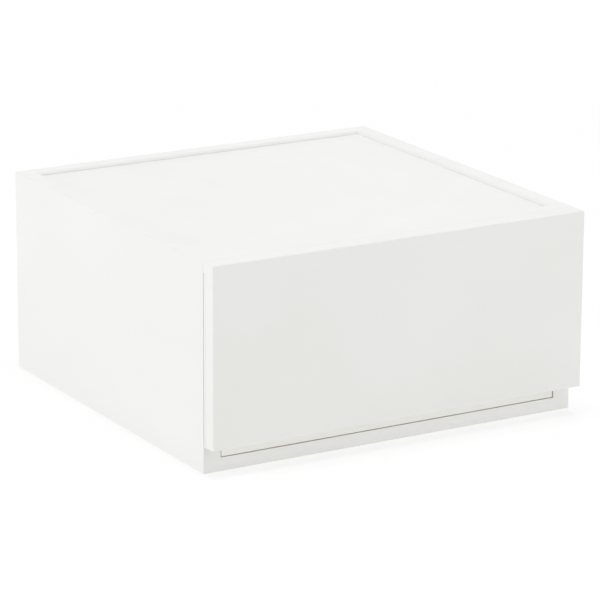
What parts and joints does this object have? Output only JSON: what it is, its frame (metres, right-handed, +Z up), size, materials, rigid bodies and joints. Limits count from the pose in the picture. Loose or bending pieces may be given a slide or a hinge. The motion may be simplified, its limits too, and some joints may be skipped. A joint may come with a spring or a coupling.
{
  "type": "stackable drawer box",
  "caption": "Low square white drawer box with a full-width overlay front, a finger space under it and a recessed top that locates the feet of a box stacked above.",
  "frame": {"origin": "centre of the footprint, on the plane that the feet stand on", "axes": "+Z up; the drawer faces and opens towards -Y; +X to the right of a person facing the drawer"},
  "size_m": [0.34, 0.34, 0.171],
  "materials": {
    "case_white": "satin moulded, fine grain",
    "front_white": "satin moulded, fine grain",
    "tray_white": "satin moulded, smooth",
    "liner_white": "satin moulded, smooth",
    "glide_plastic": "waxy, milky low-friction plastic",
    "foot_rubber": "matt soft elastomer",
    "screw_steel": "zinc-plated"
  },
  "bodies": {
    "case": {"case_shell": "case_white", "top_deck": "case_white", "case_liner": "liner_white", "base_panel": "case_white", "back_panel": "case_white", "runner_left": "glide_plastic", "runner_right": "glide_plastic", "stop_clip_left": "glide_plastic", "stop_clip_right": "glide_plastic", "foot_front_left": "foot_rubber", "foot_front_right": "foot_rubber", "foot_rear_left": "foot_rubber", "foot_rear_right": "foot_rubber", "base_screws": "screw_steel", "back_screws": "screw_steel"},
    "drawer": {"tray": "tray_white", "front_shell": "front_white", "front_backing": "front_white", "front_screws": "screw_steel", "rear_guide_left": "glide_plastic", "rear_guide_right": "glide_plastic"}
  },
  "joints": [
    {"name": "drawer_slide", "type": "slide", "parent": "case", "child": "drawer", "axis": [0, -1, 0], "range_m": [0, 0.23]}
  ]
}
